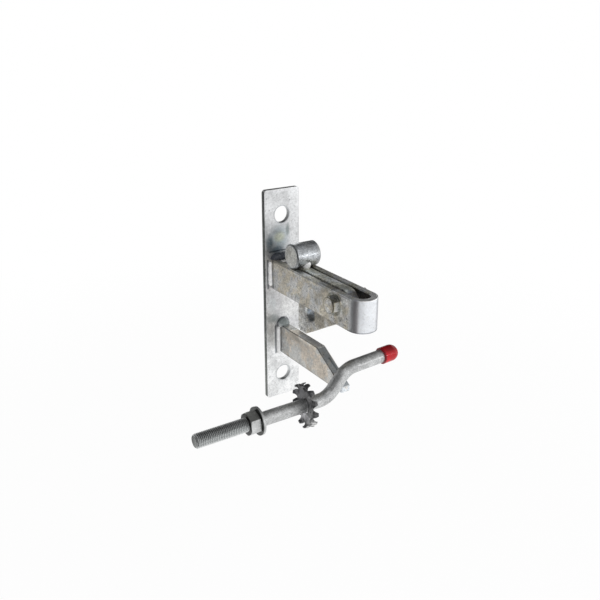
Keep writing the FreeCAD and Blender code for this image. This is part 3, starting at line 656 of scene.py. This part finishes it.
def plate_zinc(tone):
    """The post plate's finish: painted shadow and reflection of the lifting bar over a faint stain above
    the loop, dark rims by the welds, painted shade along the left edge, painted shade and light between the
    loop and the ramp, and a lower end made paler as painted light.
    """
    marks = (
        # Painted shade along the plate's left edge.
        slab((-26, -7, -141), (-24.4, 1, 141), (0.16, 0.17, 0.16), 0.3),
        # Painted light: the plate's lower end made paler.
        slab((-45, -40, -190), (45, 30, -40), (1.22, 1.22, 1.21), 14),
        # Above the loop: painted shadow and reflection of the lifting bar in bluish blots, over a faint
        # stain with a warm spot.
        plate_blot(-4, 78, 19, 24, (0.52, 0.6, 0.63), 0.2),
        plate_blot(-18, 74, 7, 14, (0.34, 0.4, 0.44)),
        plate_blot(-8, 64, 15, 7, (0.34, 0.4, 0.45)),
        plate_blot(8, 88, 4, 11, (0.5, 0.54, 0.53)),
        plate_blot(-4, 80, 11, 9, (1.55, 1.4, 1.1)),
        # Between the loop and the ramp: a painted shadow, a painted dark reflection of the near arm and
        # painted light over the right part.
        plate_blot(-15, -27, 12, 9, (0.6, 0.64, 0.64)),
        plate_blot(-15, -4, 9, 20, (0.84, 0.87, 0.87)),
        slab((-6, -40, -34), (45, 30, 14), (1.18, 1.18, 1.16), 9),
        upright(-23.2, PLATE_FRONT, 12, 58, 2.2, (1.2, 1.2, 1.2)),
        upright(-13.4, PLATE_FRONT, -80, -34, 3.0, (1.2, 1.2, 1.2)),
        upright(-21.3, PLATE_FRONT, 16, 52, 2.1, DARK),
        upright(-11, PLATE_FRONT, -76, -38, 2.1, DARK),
        streak((-18, PLATE_FRONT, 62.5), (18, PLATE_FRONT, 62.5), 1.6, DARK),
        ring((0, PLATE_FRONT, -36.5), 1, 8.2, 1.8, DARK),
        ring((0, PLATE_FRONT, 108), 1, 11, 0.9, SOFT),
        ring((0, PLATE_FRONT, -108), 1, 11, 0.9, SOFT),
    )
    return zinc("zinc_plate", tone.plate, tinted(tone.plate, 0.9), marks,
                contrast=0.3, pits_at=0.7, worn_at=0.52)


def loop_zinc(tone):
    """The strap loop's finish: bright at the bend, painted shade inside, painted light on the arms' tops
    and the near side, a painted dark reflection and painted shade on the bend, a painted shadow round the
    bolt head, spotted on the near arm.
    """
    bend = slab((-26, -196, 0), (26, -166, 62), (1.08, 1.11, 1.18), 7)
    marks = (
        bend,
        # Painted light on the near arm's outer side.
        slab((-18, -166, 8), (-16, -8, 56), (1.14, 1.14, 1.15), 1),
        # Painted shade inside the loop.
        slab((-9.5, -178.2, 10), (9.5, -20, 52.9), (0.22, 0.22, 0.24), 0.3),
        upright(ARM_SIDE, -11, 17, 52, 2.1, DARK),
        outward(ARM_SIDE, 15.2, -12, -168, 1.7, DARK),
        outward(ARM_SIDE, 52.2, -12, -168, 1.2, DIM),
        outward(-9.4, 53.5, -10, -168, 1.4, DARK),
        outward(9.4, 53.5, -10, -168, 1.0, DIM),
        # Painted light on the arms' tops.
        slab((-18, -187, 52), (18, -60, 58), (1.3, 1.34, 1.38), 1),
        slab((9, -170, 52), (18, -10, 58), (1.4, 1.44, 1.46), 1),
        # Painted dark reflection band on the bend.
        upright(-15.5, -177, 16, 53, 5, (0.8, 0.76, 0.76)),
        # Painted shade on the far side of the bend.
        slab((13.4, -190, 10), (20, -166, 52.5), (0.34, 0.35, 0.4), 1.2),
        slab((-20, -190, 12), (20, -164, 17.6), (0.5, 0.5, 0.52), 0.9),
        # Painted shadow round the bolt head, with its dark joint.
        ring((ARM_SIDE, -140, 38), 0, 11.2, 3.4, (0.42, 0.43, 0.4)),
        arm_blot(-158, 40, 6, 12, SOFT),
        arm_blot(-68, 24, 9, 5, SOFT),
        arm_blot(-100, 46, 14, 4, SOFT),
        arm_blot(-104, 30, 13, 7, (0.82, 0.84, 0.87)),
        arm_blot(-152, 25, 6, 5, (0.62, 0.62, 0.6)),
        arm_blot(-126, 49, 10, 4, (0.66, 0.66, 0.64)),
        arm_blot(-164, 29, 1.5, 1.6, (0.3, 0.3, 0.3)),
        arm_blot(-160, 20, 2.2, 1.4, (0.4, 0.4, 0.4)),
    )
    return zinc("zinc_loop", tone.strap, tone.worn, marks,
                contrast=0.5, pits_at=0.63, worn_at=0.49, clean=bend)


def ramp_zinc(tone):
    """The ramp's finish: dark along its edges, with painted light on its top and painted shade on its
    slope.
    """
    marks = (
        outward(NEAR_SIDE, -36.2, -8, -92.6, 1.3, DARK),
        streak((NEAR_SIDE, -92.6, -36.2), (NEAR_SIDE, -143.5, -66.8), 1.3, DARK),
        outward(-NEAR_SIDE, -36.2, -10, -92.6, 0.9, DIM),
        # Painted light on the ramp's top.
        slab((-5.2, -93, -38), (5.2, -30, -35), (1.7, 1.72, 1.74), 1),
        slab((-8, -95, -42), (8, -48, -30), (2.1, 2.12, 2.08), 5),
        slab((-7, -146, -76), (7, -137.5, -60), (1.3, 1.38, 1.5), 0.3),
        # Painted shade on the slope.
        slab((-5.2, -138, -75), (5.2, -93.5, -35), (0.66, 0.7, 0.75), 0.5),
        streak((1.5, -108, -45.7), (2.5, -134, -61.3), 2.2, (0.45, 0.48, 0.5), 0.1),
        upright(NEAR_SIDE, -11, -73, -39, 2.1, DARK),
        outward(NEAR_SIDE, -74.2, -12, -138, 1.5, DIM),
        blot((NEAR_SIDE, -50, -42), (3, 16, 5), SOFT),
    )
    return zinc("zinc_ramp", tone.ramp, tone.worn_ramp, marks, contrast=0.42)


def catch_zinc(tone):
    """The catch's finish: a hole darkened by painted shade with a painted highlight in it, a top edge
    brightened by painted light and a nose darkened by painted shadow.
    """
    marks = (
        # Painted shade in the lock hole, and a painted highlight in it.
        blot((0, -79, 2), (20, 9.4, 9.4), (0.32, 0.36, 0.42), 0.9),
        blot((-3, -71.5, 5.5), (8, 5, 7.5), (4.0, 4.3, 4.6), 0.5),
        ring((NEAR_SIDE, -79, 2), 0, 9.4, 0.9, DIM),
        # Painted light on the top edge.
        slab((-7, -150, 50), (7, -20, 58), (1.8, 1.95, 2.05), 2),
        # Painted shadow at the nose.
        blot((0, -152, 51), (8, 8, 9), (0.35, 0.36, 0.4), 0.6),
        outward(NEAR_SIDE, 14, -35, -120, 3, DIM, 0.1),
    )
    return zinc("zinc_catch", tinted(tone.strap, 0.88), tinted(tone.worn, 0.74), marks,
                contrast=0.75, pits_at=0.6, worn_at=0.48, metal=0.6)


class LATCH_OT_plates(bpy.types.Operator):
    """Finish the post plate, the strap loop, the ramp and the catch"""

    bl_idname = "latch.plates"
    bl_label = "Plates"

    def execute(self, context):
        tone = colours()
        paint("back_plate", plate_zinc(tone))
        paint("strap_loop", loop_zinc(tone))
        paint("ramp_plate", ramp_zinc(tone))
        paint("catch_plate", catch_zinc(tone))
        return {"FINISHED"}


def bolt_zinc(tone):
    """The cross bolt's finish: painted shade on the facets above and below, a painted highlight on one
    facet, a dark rim on the head.
    """
    low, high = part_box("pivot_bolt")
    centre = middle("pivot_bolt")
    head = Vector((low.x, centre.y, centre.z)) / MM
    flat = -(high.z - low.z) / MM * math.cos(math.radians(30)) / 2
    return zinc("zinc_bolt", tinted(tone.strap, 0.98), tinted(tone.worn, 0.98), (
        # Painted shade on the facets above and below.
        around(head, (0.8, -12, 5.9), (7.4, 12, 12), (0.4, 0.41, 0.4), 0.3),
        around(head, (0.8, -12, -12), (7.4, 12, -5.9), (0.4, 0.41, 0.4), 0.3),
        ring(head, 0, 9.3, 1.1, (0.45, 0.45, 0.42), 1.4),
        # Painted highlight on the facet that faces the front.
        around(head, (0.6, flat - 0.6, -5.6), (7.4, flat + 0.9, 5.6), (2.8, 2.85, 2.8)),
    ), contrast=0.7, pits_at=0.64, rough=0.3)


def nut_zinc(tone):
    """The striker nut's finish: painted shade on the end faces and on the upper facet."""
    near, far = (corner.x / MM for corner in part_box("striker_nut"))
    return zinc("zinc_nut", tinted(tone.bar, 1.15), tinted(tone.bar, 0.9), (
        # Painted shade on the end faces and along the upper facets.
        on_bar(near - 1, near + 0.7, (0.07, 0.07, 0.07), 0.5),
        on_bar(far - 0.8, far + 0.7, (0.15, 0.155, 0.15)),
        on_bar(near - 1, far, (0.6, 0.6, 0.58), low=8.4),
    ), contrast=0.35, pits_at=0.68, rough=0.34, least=0.85)


class LATCH_OT_fasteners(bpy.types.Operator):
    """Finish the cross bolt, its nut, the spacer washers, the striker nut and washer"""

    bl_idname = "latch.fasteners"
    bl_label = "Bolts, nuts and washers"

    def execute(self, context):
        bolt, nut = bolt_zinc(colours()), nut_zinc(colours())
        for node in ("pivot_bolt", "pivot_nut", "spacer_near", "spacer_far"):
            paint(node, bolt)
        for node in ("striker_nut", "striker_washer"):
            paint(node, nut)
        return {"FINISHED"}


def lifting_bar_zinc(tone):
    """The lifting bar's finish: bluish, with dark rims, a warm near end and painted light on its upper
    back.
    """
    centre = middle("thumb_bar") / MM
    near, far = (Vector((corner.x / MM, centre.y, centre.z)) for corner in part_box("thumb_bar"))
    bluish = [channel * factor for channel, factor in zip(tone.bar, (1.08, 1.11, 1.16))]
    return zinc("zinc_lifting_bar", bluish, tinted(tone.bar, 0.95), (
        ring(near, 0, 14.2, 1.1, (0.5, 0.5, 0.48), 1.5),
        ring(far, 0, 14.2, 1.1, (0.5, 0.5, 0.48), 1.5),
        blot(near, (1.5, 14, 14), (1.2, 1.15, 1.04), 0.8),
        # Painted light on the upper back.
        slab(near + Vector((0, -6, 0)), far + Vector((0, 20, 20)), (2.1, 2.1, 2.05), 4),
    ), contrast=0.62, pits_at=0.68, rough=0.3)


class LATCH_OT_lifting_bar(bpy.types.Operator):
    """Finish the lifting bar on the catch"""

    bl_idname = "latch.lifting_bar"
    bl_label = "Lifting bar"

    def execute(self, context):
        paint("thumb_bar", lifting_bar_zinc(colours()))
        return {"FINISHED"}


def striker_zinc(tone, near, far):
    """The striker bar's finish: its thread from near to far is clean, with painted shade in its roots, on
    the bar's end and along the thread's top.
    """
    thread = on_bar(near - 1, far, (1.14, 1.15, 1.15), 0.5)
    return zinc("zinc_striker", tinted(tone.bar, 1.06), tinted(tone.bar, 0.92), (
        thread,
        # Painted shade in the thread's grooves, on the bar's end and along the thread's top.
        rooted("root", (0.4, 0.41, 0.41)),
        on_bar(near - 1, near + 0.3, (0.45, 0.46, 0.45), 0.3),
        on_bar(near + 1, far, (0.6, 0.6, 0.6), 4, low=1),
    ), contrast=0.5, pits_at=0.69, worn_at=0.52, rough=0.4, least=0.8, clean=thread)


class LATCH_OT_striker_bar(bpy.types.Operator):
    """Build the cranked striker bar with its thread"""

    bl_idname = "latch.striker_bar"
    bl_label = "Striker bar"

    def execute(self, context):
        size, tone = sizes(), colours()
        axis = middle("striker_nut")
        start = Vector((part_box("striker_bar")[0].x, axis.y, axis.z))
        material = striker_zinc(tone, start.x / MM, (start.x + size.thread_length) / MM)
        foot = Vector((size.crank_foot, axis.y, axis.z))
        run = size.crank_rise / math.tan(size.crank_angle)
        head = foot + Vector((run, 0, size.crank_rise))
        end = head + size.end_run * Vector((math.cos(size.end_lift), 0, math.sin(size.end_lift)))
        bar = grow("striker_bar_threaded", striker_tree(material), {
            "Radius": size.bar_radius, "Bend": size.crank_bend, "Thread length": size.thread_length,
            "Pitch": size.thread_pitch, "Depth": size.thread_depth, "Start": start,
        }, (start, foot, head, end), ((0, 1), (1, 2), (2, 3)))
        seat(bar, "striker", "zinc", "striker_bar")
        return {"FINISHED"}


def weld_zinc(tone):
    """Bright weld metal, with painted shade on top of the loop's arms, dark where the ramp's dollop is."""
    return zinc("zinc_weld", tone.weld, tinted(tone.weld, 0.97), (
        # Painted shade on the bead across the arms' tops.
        slab((-19, -16, 52), (19, -4, 64), (0.05, 0.056, 0.07), 1),
        blot(middle("weld_ramp_top") / MM, (9, 9, 9), (0.32, 0.36, 0.36), 0.7),
    ), contrast=0.08, pits_at=0.8, rough=0.24, metal=0.25, bump=0.1, least=0.9)


class LATCH_OT_welds(bpy.types.Operator):
    """Lay the weld beads of the post plate and of the catch"""

    bl_idname = "latch.welds"
    bl_label = "Weld beads"

    def execute(self, context):
        size = sizes()
        tree = weld_tree(weld_zinc(colours()))
        sides = {"weld_strap_near": 1, "weld_strap_far": -1, "weld_ramp_near": 1, "weld_ramp_far": -1}
        beads = []
        for node, side in sides.items():
            low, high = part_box(node)
            x = (high.x if side > 0 else low.x) - side * BEAD_INSET
            y = high.y - BEAD_INSET
            beads.append(((x, y, low.z), (x, y, high.z), size.weld_width))
        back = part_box("back_plate")[1].y
        low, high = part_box("weld_strap_top")
        y = min(high.y - BEAD_INSET, back - BEAD_SWELL * size.weld_top_width)
        beads.append(((low.x, y, low.z), (high.x, y, low.z), size.weld_top_width))
        low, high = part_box("weld_ramp_top")
        half = (high.x - low.x) / 2
        y = min(high.y - BEAD_INSET, back - BEAD_SWELL * half)
        beads.append(((0, y, high.z - 2 * half), (0, y, high.z), half))
        post_beads = self.lay("post_weld_beads", tree, beads)
        seat(post_beads, "post_latch", "zinc", "weld_strap_near", "weld_strap_far",
             "weld_ramp_near", "weld_ramp_far", "weld_strap_top", "weld_ramp_top")

        beads = []
        width = size.thumb_weld_width
        for node, side in (("weld_thumb_front", 1), ("weld_thumb_back", -1)):
            low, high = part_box(node)
            y = (low.y if side > 0 else high.y) + side * (width - THUMB_STAND)
            z = low.z + width * THUMB_RISE
            beads.append(((low.x, y, z), (high.x, y, z), width))
        catch_beads = self.lay("catch_weld_beads", tree, beads)
        seat(catch_beads, "catch", "zinc", "weld_thumb_front", "weld_thumb_back")
        return {"FINISHED"}

    def lay(self, name, tree, beads):
        """Grow beads given as start, end and half width."""
        points, edges, widths = [], [], []
        for start, end, width in beads:
            edges.append((len(points), len(points) + 1))
            points += [start, end]
            widths += [width, width]
        return grow(name, tree, {"Ripple": sizes().weld_ripple}, points, edges, widths)


def connector_zinc(tone, centre):
    """Dull dark zinc, with painted light on the connector's outer front and a painted reflection of the
    floor low down.
    """
    return zinc("dark_zinc", tone.dark, tinted(tone.dark, 2.0), (
        # Painted light on the front and a painted reflection of the floor low down.
        around(centre, (-16, -30, -30), (16, -10, 30), (2.2, 2.2, 2.1), 4),
        around(centre, (-12, -26, -27), (12, 26, -7), (4.0, 4.0, 3.9), 4),
    ), contrast=0.9, pits_at=0.7, worn_at=0.55, rough=0.4, metal=0.5)


class LATCH_OT_connector(bpy.types.Operator):
    """Build the toothed connector that hangs on the striker bar"""

    bl_idname = "latch.connector"
    bl_label = "Toothed connector"

    def execute(self, context):
        size = sizes()
        centre = middle("toothed_connector")
        tree = connector_tree(connector_zinc(colours(), centre / MM))
        piece = grow("toothed_connector_bent", tree, {"Teeth": size.connector_teeth})
        face_along = Matrix.Rotation(math.radians(90), 4, "Y")
        lean = Matrix.Rotation(-size.connector_lean, 4, "Z")
        piece.data.transform(Matrix.Translation(centre) @ lean @ face_along)
        seat(piece, "connector", "dark_zinc", "toothed_connector")
        return {"FINISHED"}


def cap_plastic(colour):
    """Red plastic, darker at the cap's rim, with painted shade along its top."""
    low, high = (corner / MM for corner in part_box("end_cap"))
    return moulded_plastic("red_plastic", colour, (
        slab((low.x - 1, low.y - 1, low.z - 1), (low.x + 2.2, high.y + 1, high.z + 1),
             (0.4, 0.4, 0.5), 0.8),
        # Painted shade along the top.
        slab((low.x - 1, low.y - 1, high.z - 7), (high.x + 1, high.y + 1, high.z + 7),
             (0.5, 0.5, 0.5), 5),
    ))


class LATCH_OT_end_cap(bpy.types.Operator):
    """Finish the plastic end cap"""

    bl_idname = "latch.end_cap"
    bl_label = "End cap"

    def execute(self, context):
        paint("end_cap", cap_plastic(colours().cap))
        return {"FINISHED"}


# Stage

FLOOR_Z = CAD_BOX[0].z - 0.11
FLOOR_RADIUS = 4.0
FLOOR_NEAR, FLOOR_FAR, FLOOR_GLOW = 0.3, 1.1, 0.965  # where the floor turns white, and from what
CANOPY_RADIUS, CANOPY_HALF, CANOPY_STRIPS = 1.9, 1.9, 40
CANOPY_START, CANOPY_DARK, CANOPY_END = 2.0, 50.0, 165.0  # degrees up from the back
CANOPY_CURVE, CANOPY_SHADE = 1.5, 0.05
CARD_STEPS = 8
# Name, first and last bearing, near and far edge on the floor, top, shade at the floor and the top.
CARDS = (
    ("Left card", 84, 150, 0.4, 0.46, 0.6, 0.56, 0.14),
    ("Corner card", 150, 216, 0.36, 1.1, 1.2, 0.02, 0.14),
    ("Front card", 216, 250, 1.08, 1.1, 1.2, 0.1, 0.14),
    ("Right card", -25, 48, 0.4, 0.46, 0.1, 0.4, 0.4),
)
# Name, place, the point that it faces, width, power.
LAMPS = (
    ("Side softbox", (1.23, -0.71, -0.35), (0.0, -0.07, 0.0), 0.6, 1.6),
    ("Front softbox", (0.77, -1.30, 0.23), (0.07, -0.14, -0.04), 0.14, 0.6),
    ("Top softbox", (-0.5, -0.9, 1.3), (0.0, -0.07, 0.0), 0.8, 2.0),
)
CAMERA_PLACE = (-0.4332, -0.7084, 0.3168)
CAMERA_RIGHT = (0.8369, -0.5474, 0.0008)
CAMERA_FORWARD = (0.5103, 0.7796, -0.3629)
CAMERA_LENS, CAMERA_SENSOR = 41.44, 36.0
CAMERA_NEAR, CAMERA_FAR = 0.02, 30.0


def make_camera():
    camera = put("Camera", bpy.data.cameras.new("Camera"))
    camera.data.lens = CAMERA_LENS
    camera.data.sensor_width = CAMERA_SENSOR
    camera.data.clip_start = CAMERA_NEAR
    camera.data.clip_end = CAMERA_FAR
    back = -Vector(CAMERA_FORWARD).normalized()
    right = Vector(CAMERA_RIGHT)
    right = (right - back * right.dot(back)).normalized()
    turn = Matrix((right, back.cross(right), back)).transposed()
    camera.matrix_world = Matrix.Translation(CAMERA_PLACE) @ turn.to_4x4()
    bpy.context.scene.camera = camera


def make_world():
    """Plain white surround, the same to every ray."""
    world = bpy.data.worlds.new("Studio")
    bpy.context.scene.world = world
    world.use_nodes = True
    world.node_tree.nodes.clear()
    g = Graph(world.node_tree)
    sky = g.make("ShaderNodeBackground", {"Color": (1, 1, 1, 1), "Strength": 1.0})
    g.feed(g.node("ShaderNodeOutputWorld").inputs["Surface"], sky)


def make_card(name, points, faces, shade):
    """Grey card that the metal mirrors: shade takes the graph and the place on the card."""
    mesh = bpy.data.meshes.new(name)
    mesh.from_pydata(points, [], faces)
    card = put(name, mesh)
    material, g, glow, place = new_material(name + "_paper", "ShaderNodeEmission")
    g.feed(glow.inputs["Color"], g.grey(shade(g, place)))
    mesh.materials.append(material)
    card.visible_camera = False
    card.visible_shadow = False
    return card


def make_bent_card(name, first, last, near, far, top, low_shade, high_shade):
    """Card between two bearings that lies on the floor from near to far and stands up there.

    It is there for the mirrored light only, and leaves the soft light as it is."""
    points, faces = [], []
    for step in range(CARD_STEPS + 1):
        turn = math.radians(first + (last - first) * step / CARD_STEPS)
        for reach, z in ((near, FLOOR_Z + MM), (far, FLOOR_Z + MM), (far, top)):
            points.append((reach * math.cos(turn), reach * math.sin(turn), z))
        if step:
            corner = 3 * step - 3
            faces += [(n, n + 1, n + 4, n + 3) for n in (corner, corner + 1)]

    def shade(g, place):
        return g.spread(g.split(place)[2], FLOOR_Z, top, low_shade, high_shade)

    make_card(name, points, faces, shade).visible_diffuse = False


def make_canopy():
    """Barrel of graded card over the latch: dark behind, pale towards the front."""
    points, faces = [], []
    for step in range(CANOPY_STRIPS + 1):
        turn = math.radians(CANOPY_START + (CANOPY_END - CANOPY_START) * step / CANOPY_STRIPS)
        y, z = CANOPY_RADIUS * math.cos(turn), CANOPY_RADIUS * math.sin(turn)
        points += [(-CANOPY_HALF, y, z), (CANOPY_HALF, y, z)]
        if step:
            first = 2 * step - 2
            faces.append((first, first + 1, first + 3, first + 2))

    def shade(g, place):
        _, back, up = g.split(place)
        turn = g.times(g.math("ARCTAN2", up, back), 180 / math.pi)
        share = g.linear(turn, CANOPY_DARK, CANOPY_END, 0.0, 1.0)
        return g.linear(g.math("POWER", share, CANOPY_CURVE), 0.0, 1.0, CANOPY_SHADE, 1.0)

    make_card("Canopy", points, faces, shade)


def make_floor(colour):
    """Round pale floor that keeps a faint shadow, and turns white away from the latch."""
    mesh = bpy.data.meshes.new("Floor")
    shape = bmesh.new()
    bmesh.ops.create_circle(shape, cap_ends=True, segments=64, radius=FLOOR_RADIUS)
    bmesh.ops.translate(shape, verts=shape.verts, vec=(0, 0, FLOOR_Z))
    shape.to_mesh(mesh)
    shape.free()
    floor = put("Floor", mesh)
    material, g, shader, place = new_material("floor_paper")
    cloud = g.noise(place, 3.0, 2.0)
    g.feed(shader.inputs["Base Color"], g.mix(cloud, opaque(tinted(colour, 0.98)), opaque(colour)))
    shader.inputs["Roughness"].default_value = 0.9
    path = g.node("ShaderNodeLightPath").outputs
    seen = g.math("MAXIMUM", path["Is Glossy Ray"], path["Is Transmission Ray"])
    seen = g.math("MAXIMUM", path["Is Camera Ray"], seen)
    away = g.vector("LENGTH", place)
    share = g.times(seen, g.spread(away, FLOOR_NEAR, FLOOR_FAR, FLOOR_GLOW, 1.0))
    g.feed(g.surface, g.make("ShaderNodeMixShader", {
        0: share, 1: shader.outputs[0], 2: g.make("ShaderNodeEmission"),
    }))
    mesh.materials.append(material)
    floor.visible_diffuse = False


def make_lamp(name, place, aim, width, power):
    """Square soft lamp turned towards a point."""
    lamp = put(name, bpy.data.lights.new(name, "AREA"))
    lamp.data.size = width
    lamp.data.energy = power
    lamp.location = place
    lamp.rotation_mode = "QUATERNION"
    lamp.rotation_quaternion = (Vector(place) - Vector(aim)).to_track_quat("Z", "Y")


class LATCH_OT_stage(bpy.types.Operator):
    """Set the floor, the studio, the lamps and the camera"""

    bl_idname = "latch.stage"
    bl_label = "Stage"

    def execute(self, context):
        context.scene.view_settings.view_transform = "Standard"
        make_world()
        make_floor(colours().floor)
        make_canopy()
        for card in CARDS:
            make_bent_card(*card)
        for lamp in LAMPS:
            make_lamp(*lamp)
        make_camera()
        return {"FINISHED"}


OPERATORS = (
    LATCH_OT_plates, LATCH_OT_fasteners, LATCH_OT_lifting_bar, LATCH_OT_striker_bar,
    LATCH_OT_welds, LATCH_OT_connector, LATCH_OT_end_cap, LATCH_OT_stage,
)


class LATCH_PT_panel(bpy.types.Panel):
    """The latch's pieces, sizes and colours"""

    bl_label = "Gate latch"
    bl_idname = "LATCH_PT_panel"
    bl_space_type = "VIEW_3D"
    bl_region_type = "UI"
    bl_category = "Gate latch"

    def draw(self, context):
        layout = self.layout
        for operator in OPERATORS:
            layout.operator(operator.bl_idname)
        for group in (context.scene.latch_sizes, context.scene.latch_colours):
            box = layout.box()
            for name in group.__annotations__:
                box.prop(group, name)


CLASSES = (LatchSizes, LatchColours, *OPERATORS, LATCH_PT_panel)


def register():
    for entry in CLASSES:
        bpy.utils.register_class(entry)
    bpy.types.Scene.latch_sizes = PointerProperty(type=LatchSizes)
    bpy.types.Scene.latch_colours = PointerProperty(type=LatchColours)


def unregister():
    del bpy.types.Scene.latch_colours
    del bpy.types.Scene.latch_sizes
    for entry in reversed(CLASSES):
        bpy.utils.unregister_class(entry)


def main():
    register()
    for operator in OPERATORS:
        group, name = operator.bl_idname.split(".")
        getattr(getattr(bpy.ops, group), name)()


if __name__ == "__main__":
    main()
